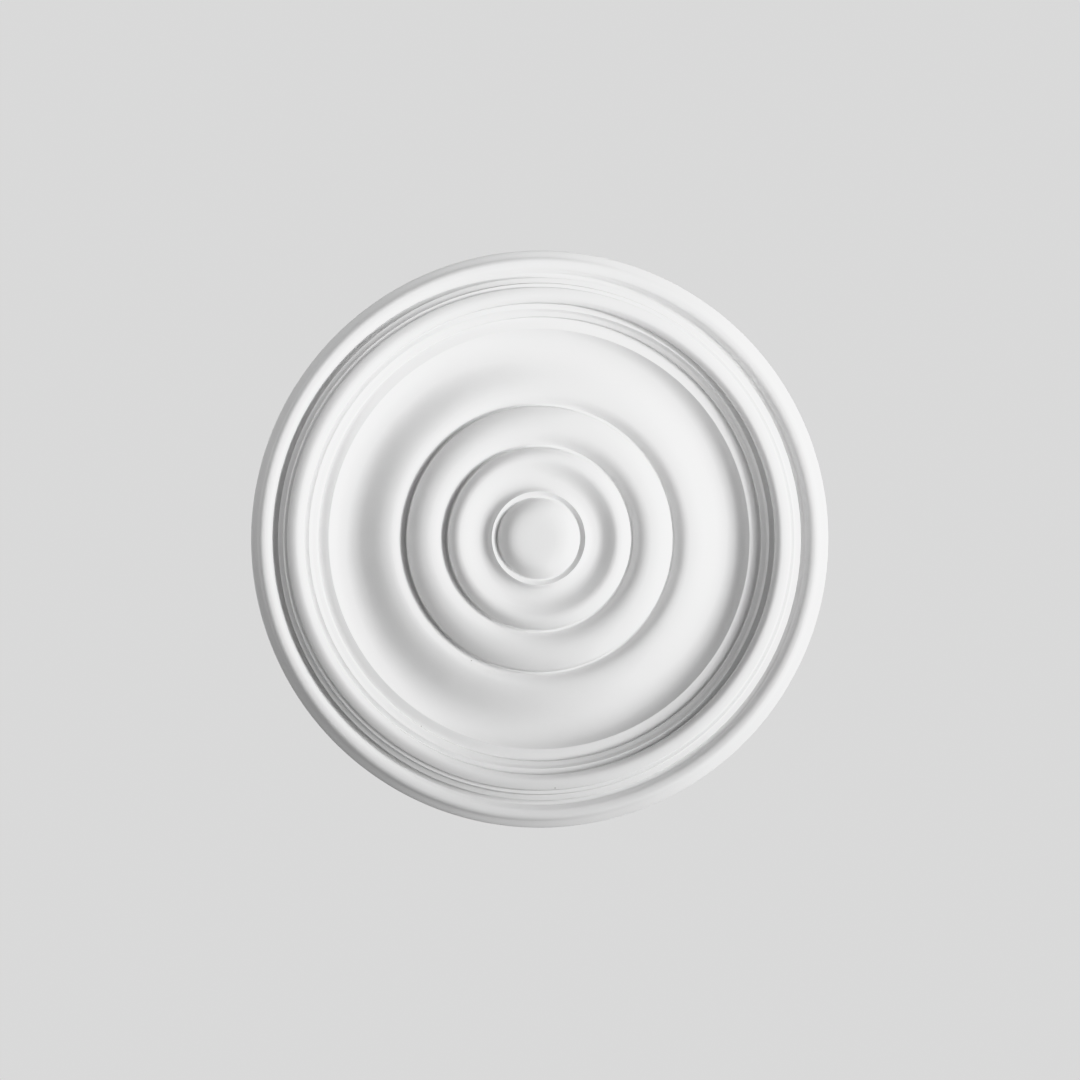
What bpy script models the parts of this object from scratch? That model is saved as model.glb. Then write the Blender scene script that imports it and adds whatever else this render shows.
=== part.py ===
"""A plain round ceiling rose, cast in plaster in one piece.

The rose hangs face down under a ceiling. Its flat back is at z = 0 and faces up, its centre is
the origin, and every ring of the face is turned about the Z axis. The face's outline is drawn as
a plasterer cuts a running template: from the rim inwards, each member starting where the last
one ends. A place on the outline is (radius, drop), in millimetres, with the drop measured down
from the ceiling.
"""

from math import cos, hypot, radians, sin

import bpy

MM = 0.001

# Driving sizes
RIM_RADIUS = 240.0      # half of the overall diameter
RIM_EDGE = 12.0         # upright edge against the ceiling
PROJECTION = 36.1       # face of the boss below the ceiling
SEAT_RADIUS = 9.0       # flat middle of the boss
TURN_STEPS = 68         # straight sides around the circle
CREASE_ANGLE = 28.0     # degrees; steeper edges between members stay crisp
HANDLE = 0.36           # length of a curve's handles, as a share of its chord

# Crests and lowest rings of the members, as (radius, drop)
BEAD_CREST = (229.0, 20.7)
ROLL_CREST = (201.1, 27.8)
DISH_FLOOR = (159.1, 4.9)
OUTER_WAVE = (123.6, 16.4)
MIDDLE_WAVE = (91.9, 24.7)
INNER_WAVE = (65.7, 28.6)
HOLLOW_FLOOR = (49.2, 22.4)
BOSS_RIM = (38.7, 27.5)
QUIRK_DROP = 24.4       # bottom of the flat groove round the boss


def straight(line, radius, drop):
    """Carry the outline on with one straight cut, such as a fillet or a riser."""
    line.append((radius, drop))


def sweep(line, end, slope_out, slope_in, pieces):
    """Carry the outline inwards with one smooth curve from its last place to end.

    The slopes are the surface's angles to the ceiling, in degrees, at the outer and the inner
    end, and rise to the face where they are positive. The curve is a cubic Bezier whose handles
    lie along those slopes.
    """
    start = line[-1]
    handle = HANDLE * hypot(start[0] - end[0], start[1] - end[1])
    out, into = radians(slope_out), radians(slope_in)
    near = (start[0] - handle * cos(out), start[1] + handle * sin(out))
    far = (end[0] + handle * cos(into), end[1] - handle * sin(into))
    for piece in range(1, pieces + 1):
        t = piece / pieces
        u = 1.0 - t
        weights = (u ** 3, 3.0 * u * u * t, 3.0 * u * t * t, t ** 3)
        corners = zip(weights, (start, near, far, end))
        shares = [(weight * place[0], weight * place[1]) for weight, place in corners]
        line.append((sum(r for r, _ in shares), sum(d for _, d in shares)))


def rim_and_bead(line):
    """Upright edge, rounded flank, and the bead that runs round the outside above its trough."""
    straight(line, RIM_RADIUS, RIM_EDGE)
    sweep(line, (234.0, 17.0), 55, 40, 2)
    sweep(line, BEAD_CREST, 66, 0, 3)
    sweep(line, (223.2, 18.0), 0, -63, 3)
    straight(line, 222.1, 17.4)
    straight(line, 220.7, 14.9)
    straight(line, 217.1, 13.7)


def roll(line):
    """Two fillets on the outside, the big roll, and three steps down inside it."""
    straight(line, 216.7, 19.6)
    straight(line, 212.4, 20.7)
    straight(line, 211.6, 23.3)
    straight(line, 208.7, 23.3)
    straight(line, 208.2, 25.4)
    sweep(line, ROLL_CREST, 31, 0, 2)
    sweep(line, (195.7, 24.2), 0, -48, 3)
    straight(line, 195.2, 18.4)
    straight(line, 190.8, 19.5)
    straight(line, 188.6, 16.3)
    straight(line, 184.9, 14.5)
    straight(line, 184.3, 11.0)
    straight(line, 174.8, 12.6)


def dish_and_waves(line):
    """Wide dish that swells into three rounded waves, each one stepped above the last.

    The outer side of the middle and of the inner wave stands on a narrow ledge, which leans a
    little towards the wave before it.
    """
    sweep(line, DISH_FLOOR, -52, 0, 4)
    sweep(line, OUTER_WAVE, 0, 0, 5)
    sweep(line, (113.2, 10.0), 0, -53, 4)
    straight(line, 112.4, 9.2)
    straight(line, 110.7, 9.8)
    straight(line, 109.9, 15.6)
    sweep(line, MIDDLE_WAVE, 49, 0, 4)
    sweep(line, (78.7, 16.9), 0, -54, 3)
    straight(line, 78.0, 16.1)
    straight(line, 76.2, 16.8)
    straight(line, 75.1, 22.1)
    sweep(line, INNER_WAVE, 54, 0, 3)
    sweep(line, (58.3, 25.6), 0, -27, 2)
    sweep(line, HOLLOW_FLOOR, -30, 0, 2)


def rim_and_boss(line):
    """Thin raised rim, the quirk inside it, and the rounded boss with its flat seat."""
    sweep(line, (40.3, 26.2), 0, 57, 2)
    straight(line, *BOSS_RIM)
    straight(line, 35.2, QUIRK_DROP)
    straight(line, 33.9, QUIRK_DROP)
    sweep(line, (27.6, 32.0), 70, 40, 2)
    sweep(line, (SEAT_RADIUS, PROJECTION), 40, 1, 3)


def outline():
    """Closed half-section: out along the back, down the edge and in along the face."""
    line = [(0.0, 0.0), (RIM_RADIUS, 0.0)]
    rim_and_bead(line)
    roll(line)
    dish_and_waves(line)
    rim_and_boss(line)
    straight(line, 0.0, PROJECTION)
    return line


def plaster():
    """Cast gypsum plaster under flat white paint."""
    material = bpy.data.materials.new("painted_plaster")
    material.use_nodes = True
    shader = material.node_tree.nodes["Principled BSDF"]
    shader.inputs["Base Color"].default_value = (0.83, 0.83, 0.82, 1.0)
    shader.inputs["Roughness"].default_value = 0.75
    shader.inputs["Metallic"].default_value = 0.0
    return material


def turned(name, line, collection):
    """Turn a half-section about the Z axis into one solid."""
    section = bpy.data.meshes.new(name + "_section")
    places = [(radius * MM, 0.0, -drop * MM) for radius, drop in line]
    edges = [(index, index + 1) for index in range(len(places) - 1)]
    section.from_pydata(places, edges, [])
    body = bpy.data.objects.new(name, section)
    collection.objects.link(body)
    turn = body.modifiers.new("turn", "SCREW")
    turn.axis = "Z"
    turn.steps = TURN_STEPS
    turn.render_steps = TURN_STEPS
    turn.use_merge_vertices = True
    turn.merge_threshold = 0.00001
    depsgraph = bpy.context.evaluated_depsgraph_get()
    solid = bpy.data.meshes.new_from_object(body.evaluated_get(depsgraph))
    solid.name = name
    body.modifiers.clear()
    body.data = solid
    bpy.data.meshes.remove(section)
    solid.shade_smooth()
    solid.set_sharp_from_angle(angle=radians(CREASE_ANGLE))
    return body


def build():
    for thing in list(bpy.data.objects):
        bpy.data.objects.remove(thing)
    collection = bpy.data.collections.new("ceiling_rose")
    bpy.context.scene.collection.children.link(collection)
    rose = turned("ceiling_rose", outline(), collection)
    rose.data.materials.append(plaster())


build()
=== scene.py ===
from math import atan, ceil, cos, hypot, pi, radians, sin, tan

import bpy
import numpy as np
from mathutils import Matrix, Vector


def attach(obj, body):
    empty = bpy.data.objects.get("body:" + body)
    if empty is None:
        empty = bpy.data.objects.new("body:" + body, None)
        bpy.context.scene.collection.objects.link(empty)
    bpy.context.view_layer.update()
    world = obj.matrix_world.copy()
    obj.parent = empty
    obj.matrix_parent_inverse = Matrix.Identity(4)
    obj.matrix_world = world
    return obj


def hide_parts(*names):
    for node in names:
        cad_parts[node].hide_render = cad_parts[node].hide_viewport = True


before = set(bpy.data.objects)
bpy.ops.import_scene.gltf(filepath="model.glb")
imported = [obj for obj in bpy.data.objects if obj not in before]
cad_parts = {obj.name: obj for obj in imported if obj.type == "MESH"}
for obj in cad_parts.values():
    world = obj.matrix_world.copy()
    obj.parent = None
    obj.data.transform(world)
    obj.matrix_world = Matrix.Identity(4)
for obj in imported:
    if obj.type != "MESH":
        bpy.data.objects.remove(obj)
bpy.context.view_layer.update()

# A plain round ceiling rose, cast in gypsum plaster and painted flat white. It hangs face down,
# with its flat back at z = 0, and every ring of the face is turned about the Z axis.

MM = 0.001

# The cast, in millimetres. A place on its outline is (radius, drop below the ceiling).
RIM_RADIUS = 240.0      # half of the overall diameter
RIM_EDGE = 12.0         # upright edge against the ceiling
PROJECTION = 36.1       # face of the boss below the ceiling
SEAT_RADIUS = 9.0       # flat middle of the boss
BEAD_CREST = (229.0, 20.7)
ROLL_CREST = (201.1, 27.8)
DISH_FLOOR = (159.1, 4.9)
OUTER_WAVE = (123.6, 16.4)
MIDDLE_WAVE = (91.9, 24.7)
INNER_WAVE = (65.7, 28.6)
HOLLOW_FLOOR = (49.2, 22.4)
BOSS_RIM = (38.7, 27.5)
QUIRK_DROP = 24.4       # bottom of the flat groove round the boss
HANDLE = 0.36           # length of a curve's handles, as a share of its chord

# How finely the surface is divided
FINE_STEP = 0.05        # mm between the outline's places before its rings are chosen
RINGS = 204             # rings from the middle of the back to the middle of the boss
AROUND = 480            # corners on each ring
LEVEL_RING = 7.0        # mm of straight outline that count for as much
BENT_RING = 21.0        # as this many degrees of bend when the rings are shared out

# Traces of the hand, in millimetres
ARRIS_SPREAD = 0.20     # how far paint and moulding round the sharp edges
BELL_REACH = 4.0        # spreads at which the rounding's bell is cut off
UNEVENNESS = 0.07       # depth of the slow waves that a hand-finished cast has
CALM_RADIUS = 30.0      # the slow waves die out from here to the axis
SIGHT_REACH = 40.0      # farthest neighbour that can shut a place in
BACK_DROP = 1.0         # places with less drop than this are on the back

# The finish's patterns, in millimetres
COAT_PATCH = 45.0       # thinner and fuller places of the coat
FILL_PATCH = 14.0       # low swells of the surface under the coat
STIPPLE = 2.0           # the brush's stipple; the real one, about 0.5, is too fine to show
BUBBLE_SPACING = 14.0
STROKE = 4.0            # width of the board's strokes on the back
LAP_PATCH = 22.0        # length of the waves in the edge of the paint on the back
LAP_DEPTH = 14.0        # how far those waves could pull the edge inwards
RELIEF = 0.02           # height of one unit of the bump

# The picture, in dots
PICTURE = 1080.0                # each of its sides
ROSE_MIDDLE = (539.2, 538.8)    # the rose's middle, from the left and from the top
ROSE_HALF = 288.2               # half of the rose's overall width

# The lamps, in metres, and in watts for a strength of 1 at one metre
LAMP_DISTANCE, LAMP_SIZE, LAMP_POWER = 8.0, 2.0, 50.0
SPOT_DISTANCE, SPOT_SIZE, SPOT_POWER = 5.0, 0.2, 200.0
SPOT_RISE = 0.32        # how far above the rose's middle, in the picture, the spots aim
SPOT_REACH = 0.5        # radius of their circle of light there


# Outline


def straight(line, radius, drop):
    """Carry the outline on with one straight cut: places spread evenly along a segment."""
    start = line[-1][-1]
    pieces = ceil(hypot(radius - start[0], drop - start[1]) / FINE_STEP)
    t = np.linspace(0.0, 1.0, pieces + 1)[1:, None]
    line.append((1.0 - t) * start + t * np.array((radius, drop)))


def sweep(line, end, slope_out, slope_in):
    """Carry the outline inwards with one cubic Bezier curve from its last place to end.

    The slopes are the surface's angles to the ceiling at the outer and the inner end, in
    degrees, and rise to the face where they are positive. The handles lie along them. With u
    for 1 - t, a place is u cubed of the start, 3 u u t of the near handle, 3 u t t of the far
    handle and t cubed of the end.
    """
    start, end = line[-1][-1], np.array(end)
    chord = hypot(*(end - start))
    handle = HANDLE * chord
    out, into = radians(slope_out), radians(slope_in)
    near = start + handle * np.array((-cos(out), sin(out)))
    far = end - handle * np.array((-cos(into), sin(into)))
    t = np.linspace(0.0, 1.0, ceil(chord / FINE_STEP) + 1)[1:, None]
    u = 1.0 - t
    line.append(u**3 * start + 3 * u * u * t * near + 3 * u * t * t * far + t**3 * end)


def outline():
    """Half-section of the cast: out along the back, down the edge and in along the face."""
    line = [np.array([(0.0, 0.0)])]
    straight(line, RIM_RADIUS, 0.0)
    straight(line, RIM_RADIUS, RIM_EDGE)
    # rounded flank, bead and trough
    sweep(line, (234.0, 17.0), 55, 40)
    sweep(line, BEAD_CREST, 66, 0)
    sweep(line, (223.2, 18.0), 0, -63)
    straight(line, 222.1, 17.4)
    straight(line, 220.7, 14.9)
    straight(line, 217.1, 13.7)
    # two fillets, the big roll, and three steps down inside it
    straight(line, 216.7, 19.6)
    straight(line, 212.4, 20.7)
    straight(line, 211.6, 23.3)
    straight(line, 208.7, 23.3)
    straight(line, 208.2, 25.4)
    sweep(line, ROLL_CREST, 31, 0)
    sweep(line, (195.7, 24.2), 0, -48)
    straight(line, 195.2, 18.4)
    straight(line, 190.8, 19.5)
    straight(line, 188.6, 16.3)
    straight(line, 184.9, 14.5)
    straight(line, 184.3, 11.0)
    straight(line, 174.8, 12.6)
    # dish and three stepped waves; the middle and the inner one stand on a narrow ledge
    sweep(line, DISH_FLOOR, -52, 0)
    sweep(line, OUTER_WAVE, 0, 0)
    sweep(line, (113.2, 10.0), 0, -53)
    straight(line, 112.4, 9.2)
    straight(line, 110.7, 9.8)
    straight(line, 109.9, 15.6)
    sweep(line, MIDDLE_WAVE, 49, 0)
    sweep(line, (78.7, 16.9), 0, -54)
    straight(line, 78.0, 16.1)
    straight(line, 76.2, 16.8)
    straight(line, 75.1, 22.1)
    sweep(line, INNER_WAVE, 54, 0)
    sweep(line, (58.3, 25.6), 0, -27)
    sweep(line, HOLLOW_FLOOR, -30, 0)
    # thin rim, quirk, and the boss with its flat seat
    sweep(line, (40.3, 26.2), 0, 57)
    straight(line, *BOSS_RIM)
    straight(line, 35.2, QUIRK_DROP)
    straight(line, 33.9, QUIRK_DROP)
    sweep(line, (27.6, 32.0), 70, 40)
    sweep(line, (SEAT_RADIUS, PROJECTION), 40, 1)
    straight(line, 0.0, PROJECTION)
    return np.concatenate(line)


def softened(line, spread):
    """The outline at even steps, with every arris rounded by a bell-shaped average along it.

    Past both ends the outline goes on as its own mirror image in the axis.
    """
    length = np.append(0.0, np.cumsum(np.hypot(*np.diff(line, axis=0).T)))
    even = np.linspace(0.0, length[-1], ceil(length[-1] / FINE_STEP))
    radius, drop = (np.interp(even, length, line[:, k]) for k in (0, 1))
    reach = ceil(BELL_REACH * spread / FINE_STEP)
    bell = np.exp(-0.5 * (np.arange(-reach, reach + 1) * FINE_STEP / spread) ** 2)
    bell /= bell.sum()
    radius = np.convolve(np.pad(radius, reach, "reflect", reflect_type="odd"), bell, "valid")
    drop = np.convolve(np.pad(drop, reach, "reflect"), bell, "valid")
    return np.stack((radius, drop), axis=1)


def ringed(line, rings):
    """The rings of the turned surface: places along the outline, closer where it bends more.

    The rings lie at even steps of a running sum, which grows by the length passed over 7 mm
    and by the bend passed over 21 degrees.
    """
    tangent = np.gradient(line, axis=0)
    bend = np.abs(np.gradient(np.unwrap(np.arctan2(tangent[:, 1], tangent[:, 0]))))
    share = FINE_STEP / LEVEL_RING + bend / radians(BENT_RING)
    place = np.cumsum(share)
    place = (place - place[0]) / (place[-1] - place[0])
    chosen = np.linspace(0.0, 1.0, rings)
    return np.stack([np.interp(chosen, place, line[:, k]) for k in (0, 1)], axis=1)


def closed_in(line):
    """How far each place of the outline is shut in by what stands proud on either side of it.

    The highest sight line over the neighbours within 40 mm is found on each side, and one minus
    the mean of the two cosines is 0 on open ground and nears 1 in a narrow slot. The back, which
    faces the other way, is open.
    """
    across = line[None, :, 0] - line[:, None, 0]
    proud = line[None, :, 1] - line[:, None, 1]
    away = np.abs(across)
    rise = np.where(away < SIGHT_REACH, np.arctan2(proud, away + 0.01), 0.0)
    outer = np.where(across > 0.0, rise, 0.0).max(axis=1)
    inner = np.where(across < 0.0, rise, 0.0).max(axis=1)
    shut = 1.0 - 0.5 * (np.cos(outer) + np.cos(inner))
    return np.where(line[:, 1] < BACK_DROP, 0.0, shut)


# Surface


def put(name, data):
    """Put a mesh, a lamp or a camera in the scene as an object."""
    thing = bpy.data.objects.new(name, data)
    bpy.context.scene.collection.objects.link(thing)
    return thing


def slow_waves(places):
    """Soft unevenness from 0 to 1: seven plane sine waves added up and squeezed into range.

    Wave n is 185 - 18 n millimetres long, so 167 down to 59. It runs at 2.4 n radians round the
    Z axis, with a little rise or fall, and starts 1.3 n squared radians along its course. The
    sum is squeezed by a half plus half the hyperbolic tangent of 0.45 of it.
    """
    total = np.zeros(places.shape[:-1])
    for wave in range(1, 8):
        length = 185.0 - 18.0 * wave
        lean = 2.4 * wave
        start = 1.3 * wave * wave
        ahead = np.array((cos(lean), sin(lean), 0.35 * cos(1.7 * lean)))
        total += np.sin(places @ ahead * (2.0 * pi / length) + start)
    return 0.5 + 0.5 * np.tanh(0.45 * total)


def turned(name, line, around):
    """Closed surface: the outline turned about Z, (radius cos a, radius sin a, -drop).

    Each place then sinks straight into the cast by the slow waves' depth, which fades to nothing
    at the axis. The two places on the axis are single corners, joined to their neighbours by a
    fan of triangles.
    """
    angle = np.arange(around) * (2.0 * pi / around)
    body = line[1:-1]
    tangent = np.gradient(line, axis=0)[1:-1]
    tangent /= np.hypot(tangent[:, :1], tangent[:, 1:])
    turn = np.stack((np.cos(angle), np.sin(angle)), axis=1)[None]
    places = np.empty((len(body), around, 3))
    places[..., :2] = body[:, None, :1] * turn
    places[..., 2] = -body[:, 1:]
    outward = np.empty_like(places)
    outward[..., :2] = tangent[:, None, 1:] * turn
    outward[..., 2] = tangent[:, :1]
    off_axis = np.clip(body[:, :1] / CALM_RADIUS, 0.0, 1.0)
    places -= outward * (UNEVENNESS * off_axis * slow_waves(places))[..., None]
    ends = np.array([(0.0, 0.0, -line[0, 1]), (0.0, 0.0, -line[-1, 1])])
    corners = np.concatenate((places.reshape(-1, 3), ends)) * MM

    ring = np.arange(len(body))[:, None] * around
    step = np.arange(around)[None]
    here, beside = ring + step, ring + (step + 1) % around
    quads = np.stack((here[:-1], here[1:], beside[1:], beside[:-1]), axis=2).reshape(-1, 4)
    back, front = len(corners) - 2, len(corners) - 1
    first = np.stack((np.full(around, back), here[0], beside[0]), axis=1)
    last = np.stack((here[-1], np.full(around, front), beside[-1]), axis=1)
    mesh = bpy.data.meshes.new(name)
    mesh.from_pydata(corners, [], quads.tolist() + first.tolist() + last.tolist())
    mesh.shade_smooth()

    # How shut in each place is sets how much painted shade its paint gets in the narrow corners.
    shade = np.concatenate((np.repeat(closed_in(line)[1:-1], around), (0.0, 0.0)))
    mesh.attributes.new("closed_in", "FLOAT", "POINT").data.foreach_set("value", shade)
    return put(name, mesh)


# Finish


def colour(code):
    """Linear colour of an sRGB hex code."""
    levels = np.array([int(code[k:k + 2], 16) for k in (1, 3, 5)]) / 255.0
    linear = np.where(levels <= 0.04045, levels / 12.92, ((levels + 0.055) / 1.055) ** 2.4)
    return (*linear.tolist(), 1.0)


def add(tree, kind, settings=None, **inputs):
    """Add a node. Inputs are numbers, colours or other nodes' sockets, named by their socket
    with underscores for spaces, or by _0, _1 and so on for their place. A Mix node has its two
    numbers at _2 and _3 and its two colours at _6 and _7.
    """
    node = tree.nodes.new("ShaderNode" + kind)
    for key, value in (settings or {}).items():
        setattr(node, key, value)
    for key, value in inputs.items():
        socket = node.inputs[int(key[1:]) if key[1:].isdigit() else key.replace("_", " ")]
        if isinstance(value, bpy.types.NodeSocket):
            tree.links.new(value, socket)
        else:
            socket.default_value = value
    return node


def per_mm(size):
    """Texture scale, in turns per metre, of a pattern whose features are size mm across."""
    return 1.0 / (size * MM)


def air_bubbles(tree, where, bare):
    """1 in the open air bubbles, which are pinholes up to 1.7 mm across.

    They lie about 14 mm apart. Of those in the face 4 in 100 break the surface, and of those in
    the back 34 in 100, because bubbles rise in the mould.
    """
    bubbles = add(tree, "TexVoronoi", Vector=where, Scale=per_mm(BUBBLE_SPACING))
    chance = add(tree, "SeparateColor", Color=bubbles.outputs["Color"]).outputs["Red"]
    rare = add(tree, "Math", {"operation": "MULTIPLY_ADD"}, _0=bare, _1=-0.30, _2=0.96)
    broken = add(tree, "Math", {"operation": "GREATER_THAN"}, _0=chance, _1=rare.outputs[0])
    pit = add(tree, "MapRange", Value=bubbles.outputs["Distance"],
              From_Min=0.02, From_Max=0.06, To_Min=1.0, To_Max=0.0)
    return add(tree, "Math", {"operation": "MULTIPLY"},
               _0=pit.outputs["Result"], _1=broken.outputs[0]).outputs[0]


def bare_plaster(tree, where):
    """1 where the back's plaster is open and 0 under paint, which laps over the rim by about
    4 mm, and by up to 8 mm where its edge waves inwards.
    """
    level = add(tree, "SeparateXYZ", Vector=where).outputs["Z"]
    on_back = add(tree, "MapRange", Value=level, From_Min=-0.5 * MM, From_Max=-0.2 * MM)
    radius = add(tree, "VectorMath", {"operation": "LENGTH"}, _0=where).outputs["Value"]
    wander = add(tree, "TexNoise", Vector=where, Scale=per_mm(LAP_PATCH), Detail=2.0)
    edge = add(tree, "Math", {"operation": "MULTIPLY_ADD"},
               _0=wander.outputs["Fac"], _1=LAP_DEPTH * MM, _2=radius)
    inside = add(tree, "MapRange", Value=edge.outputs[0], From_Min=(RIM_RADIUS + 1.6) * MM,
                 From_Max=(RIM_RADIUS + 2.4) * MM, To_Min=1.0, To_Max=0.0)
    return add(tree, "Math", {"operation": "MULTIPLY"},
               _0=on_back.outputs["Result"], _1=inside.outputs["Result"]).outputs[0]


def painted_plaster():
    """Matt white emulsion brushed on cast gypsum plaster, with the back left bare.

    The eye sees an even, chalky white with no gloss. Under it are a faint stipple from the
    brush, a slow unevenness in the white where the coat is thinner, and a few open air bubbles.
    The narrow corners are painted up to a quarter greyer as painted shade, and the bubbles are
    painted grey as the shade inside them. The back is creamier and drier, and a board has
    struck it level in long strokes.
    """
    material = bpy.data.materials.new("matt_emulsion_on_cast_gypsum")
    material.use_nodes = True
    tree = material.node_tree
    shader = tree.nodes["Principled BSDF"]
    where = add(tree, "TexCoord").outputs["Object"]
    bare = bare_plaster(tree, where)
    pinhole = air_bubbles(tree, where, bare)

    # The paint is white and a little darker where it is thin. In the narrow corners it is darkened
    # by a quarter at most, as painted shade.
    coat = add(tree, "TexNoise", Vector=where, Scale=per_mm(COAT_PATCH), Detail=3.0)
    tone = add(tree, "Mix", {"data_type": "RGBA"}, Factor=coat.outputs["Fac"],
               _6=colour("#E7E7E7"), _7=colour("#EDEDED"))
    shut = add(tree, "Attribute", {"attribute_name": "closed_in"}).outputs["Fac"]
    painted_corner_shade = add(tree, "MapRange", {"interpolation_type": "SMOOTHSTEP"}, Value=shut,
                  From_Min=0.28, From_Max=0.85, To_Min=0.0, To_Max=0.25)
    corner_shaded = add(tree, "Mix", {"data_type": "RGBA"}, Factor=painted_corner_shade.outputs["Result"],
                 _6=tone.outputs[2], _7=colour("#8F8F8E"))

    # The board's strokes run along x. They are 25 times as long as wide, so about 100 mm.
    along = add(tree, "VectorMath", {"operation": "MULTIPLY"}, _0=where, _1=(0.04, 1.0, 1.0))
    strokes = add(tree, "TexNoise", Vector=along.outputs["Vector"], Scale=per_mm(STROKE),
                  Detail=3.0)
    cloudy = add(tree, "Math", {"operation": "MULTIPLY_ADD"},
                 _0=strokes.outputs["Fac"], _1=0.5, _2=-0.25)
    drying = add(tree, "Math", {"operation": "ADD"}, _0=cloudy.outputs[0],
                 _1=coat.outputs["Fac"])
    cream = add(tree, "Mix", {"data_type": "RGBA"}, Factor=drying.outputs[0],
                _6=colour("#DDDAD2"), _7=colour("#ECEAE4"))
    outside = add(tree, "Mix", {"data_type": "RGBA"}, Factor=bare,
                  _6=corner_shaded.outputs[2], _7=cream.outputs[2])
    # The open pinholes are painted grey, as painted shade inside them.
    pinhole_shaded = add(tree, "Mix", {"data_type": "RGBA"}, Factor=pinhole,
                 _6=outside.outputs[2], _7=colour("#A9A8A6"))
    tree.links.new(pinhole_shaded.outputs[2], shader.inputs["Base Color"])

    # Heights are in units of 0.02 mm: the stipple is 1 high, the swells 2.5, the board's strokes
    # 12, and the pinholes 8 deep.
    stipple = add(tree, "TexNoise", Vector=where, Scale=per_mm(STIPPLE), Detail=2.0)
    fill = add(tree, "TexNoise", Vector=where, Scale=per_mm(FILL_PATCH), Detail=2.0)
    film = add(tree, "Math", {"operation": "MULTIPLY_ADD"},
               _0=fill.outputs["Fac"], _1=2.5, _2=stipple.outputs["Fac"])
    ridges = add(tree, "Math", {"operation": "MULTIPLY"}, _0=strokes.outputs["Fac"], _1=12.0)
    relief = add(tree, "Mix", Factor=bare, _2=film.outputs[0], _3=ridges.outputs[0])
    depth = add(tree, "Math", {"operation": "MULTIPLY_ADD"},
                _0=pinhole, _1=-8.0, _2=relief.outputs[0])
    bump = add(tree, "Bump", Strength=1.0, Distance=RELIEF * MM, Height=depth.outputs[0])
    tree.links.new(bump.outputs["Normal"], shader.inputs["Normal"])

    # Flat emulsion has a roughness of about 0.8, and bare gypsum is drier still.
    gloss = add(tree, "MapRange", Value=fill.outputs["Fac"],
                From_Min=0.3, From_Max=0.7, To_Min=0.74, To_Max=0.84)
    matt = add(tree, "Mix", Factor=bare, _2=gloss.outputs["Result"], _3=0.93)
    tree.links.new(matt.outputs[0], shader.inputs["Roughness"])
    shader.inputs["Specular IOR Level"].default_value = 0.3
    return material


# Studio


RIGHT, UP, TOWARDS = Vector((1, 0, 0)), Vector((0, -1, 0)), Vector((0, 0, -1))


def direction(off, around):
    """Direction of a lamp from the rose. Off is its angle from straight below, and around is
    measured from the picture's right side towards its top, both in degrees.
    """
    off, around = radians(off), radians(around)
    side = RIGHT * cos(around) + UP * sin(around)
    return TOWARDS * cos(off) + side * sin(off)


def lamp(name, off, around, strength):
    """Large round soft lamp turned to the rose."""
    aim = direction(off, around)
    light = bpy.data.lights.new(name, "AREA")
    light.shape = "DISK"
    light.size = LAMP_SIZE
    light.energy = strength * LAMP_POWER * LAMP_DISTANCE ** 2
    thing = put(name, light)
    thing.location = aim * LAMP_DISTANCE
    thing.rotation_euler = aim.to_track_quat("Z", "Y").to_euler()
    thing.visible_camera = False


def feathered(name, off, around, strength):
    """Soft spot lamp that aims above the rose's middle, so that its light fades from the top of
    the picture to the bottom.
    """
    aim = direction(off, around)
    light = bpy.data.lights.new(name, "SPOT")
    light.spot_size = 2.0 * atan(SPOT_REACH / SPOT_DISTANCE)
    light.spot_blend = 1.0
    light.shadow_soft_size = SPOT_SIZE
    light.energy = strength * SPOT_POWER * SPOT_DISTANCE ** 2
    thing = put(name, light)
    thing.location = aim * SPOT_DISTANCE
    turn = (aim * SPOT_DISTANCE - UP * SPOT_RISE).to_track_quat("Z", "Y")
    thing.rotation_euler = turn.to_euler()


def overhead():
    """Soft daylight from above for the flat back and the floor. It can't reach the face."""
    light = bpy.data.lights.new("overhead", "SUN")
    light.angle = radians(18.0)
    light.energy = 1.1
    put("overhead", light).rotation_euler = (radians(32.0), 0.0, radians(35.0))


def surroundings():
    """Pale grey seen behind the rose, and a dimmer even light from all round.

    More of it comes from above, where a pale ceiling would throw light back on the rim, and most
    from the picture's top. The rose itself keeps that off the rest of the face.
    """
    from_below, from_above_top, from_above_bottom = 0.181, 1.05, 0.30
    world = bpy.data.worlds.new("studio")
    bpy.context.scene.world = world
    world.use_nodes = True
    tree = world.node_tree
    tree.nodes.clear()
    seen = add(tree, "Background", Color=colour("#DFDFDF"), Strength=1.0)
    ahead = add(tree, "TexCoord").outputs["Generated"]
    level = add(tree, "SeparateXYZ", Vector=ahead)
    ceiling = add(tree, "MapRange", Value=level.outputs["Y"], From_Min=-1.0, From_Max=1.0,
                  To_Min=from_above_top, To_Max=from_above_bottom)
    strength = add(tree, "MapRange", Value=level.outputs["Z"], From_Min=0.0, From_Max=0.1,
                   To_Min=from_below, To_Max=ceiling.outputs["Result"])
    glow = add(tree, "Background", Color=(1.0, 1.0, 1.0, 1.0), Strength=strength.outputs["Result"])
    straight_on = add(tree, "LightPath").outputs["Is Camera Ray"]
    both = add(tree, "MixShader", _0=straight_on, _1=glow.outputs[0], _2=seen.outputs[0])
    add(tree, "OutputWorld", Surface=both.outputs[0])


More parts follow.
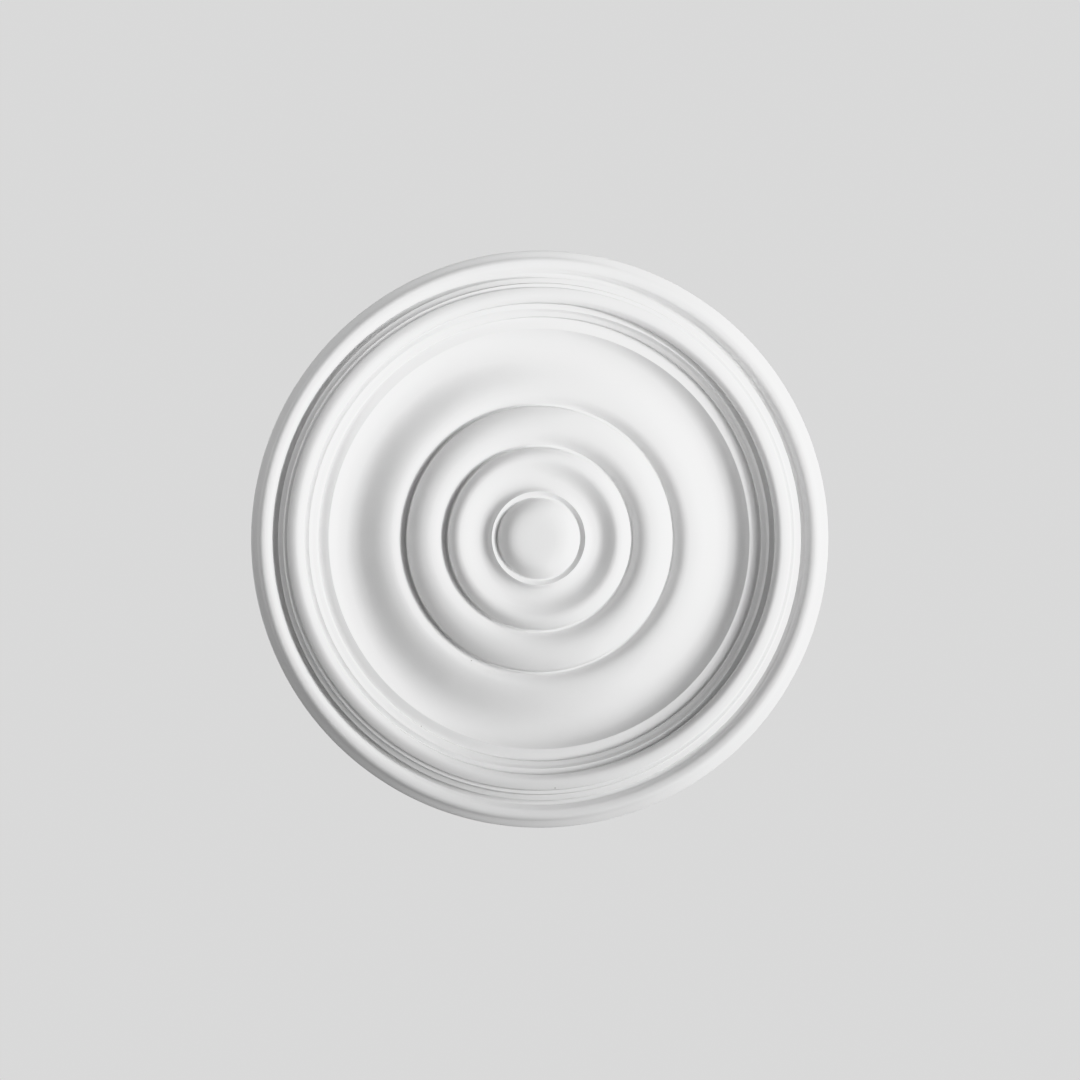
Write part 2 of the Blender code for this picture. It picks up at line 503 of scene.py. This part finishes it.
def floor():
    """Plain pale floor, 6 m below, which is just under the lowest lamp's edge. It throws no light
    on the rose.
    """
    half, level = 60.0, -6.0
    mesh = bpy.data.meshes.new("floor")
    corners = [(-half, -half, level), (half, -half, level), (half, half, level),
               (-half, half, level)]
    mesh.from_pydata(corners, [], [(0, 1, 2, 3)])
    plane = put("floor", mesh)
    material = bpy.data.materials.new("pale_floor")
    material.use_nodes = True
    shader = material.node_tree.nodes["Principled BSDF"]
    shader.inputs["Base Color"].default_value = colour("#E4E4E3")
    shader.inputs["Roughness"].default_value = 0.9
    mesh.materials.append(material)
    plane.visible_diffuse = False
    plane.visible_glossy = False


def camera():
    """Straight up at the face from 3 m, leaning as the picture does, with the rose's overall
    width 576 of the picture's 1080 dots.
    """
    distance, looked_at = 3.0, -7.0 * MM
    lean_right, lean_up = 1.2, -1.3
    aim = (TOWARDS + RIGHT * tan(radians(lean_right)) + UP * tan(radians(lean_up))).normalized()
    across = UP.cross(aim).normalized()
    turn = Matrix((across, aim.cross(across), aim)).transposed().to_4x4()
    turn.translation = Vector((0.0, 0.0, looked_at)) + aim * distance
    middle = PICTURE / 2.0
    lens = bpy.data.cameras.new("camera")
    lens.angle = 2.0 * atan(RIM_RADIUS * MM * middle / ROSE_HALF / distance)
    lens.shift_x = (middle - ROSE_MIDDLE[0]) / PICTURE
    lens.shift_y = -(middle - ROSE_MIDDLE[1]) / PICTURE
    thing = put("camera", lens)
    thing.matrix_world = turn
    bpy.context.scene.camera = thing


rose = turned("cast_rose", ringed(softened(outline(), ARRIS_SPREAD), RINGS), AROUND)
rose.data.materials.append(painted_plaster())
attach(rose, "root")
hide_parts("ceiling_rose")

camera()
surroundings()
floor()
overhead()
lamp("key_high", 50, -6, 0.0383)
lamp("key_low", 62, -6, 0.0512)
lamp("key_below", 57, -25, 0.0497)
lamp("key_above", 57, 15, 0.0743)
lamp("left_rim", 78, 180, 0.0233)
feathered("key_top", 57, -6, 0.0740)
feathered("left_top", 57, 180, 0.0465)
feathered("front_top", 8, 90, 0.0100)
bpy.context.scene.view_settings.view_transform = "Khronos PBR Neutral"
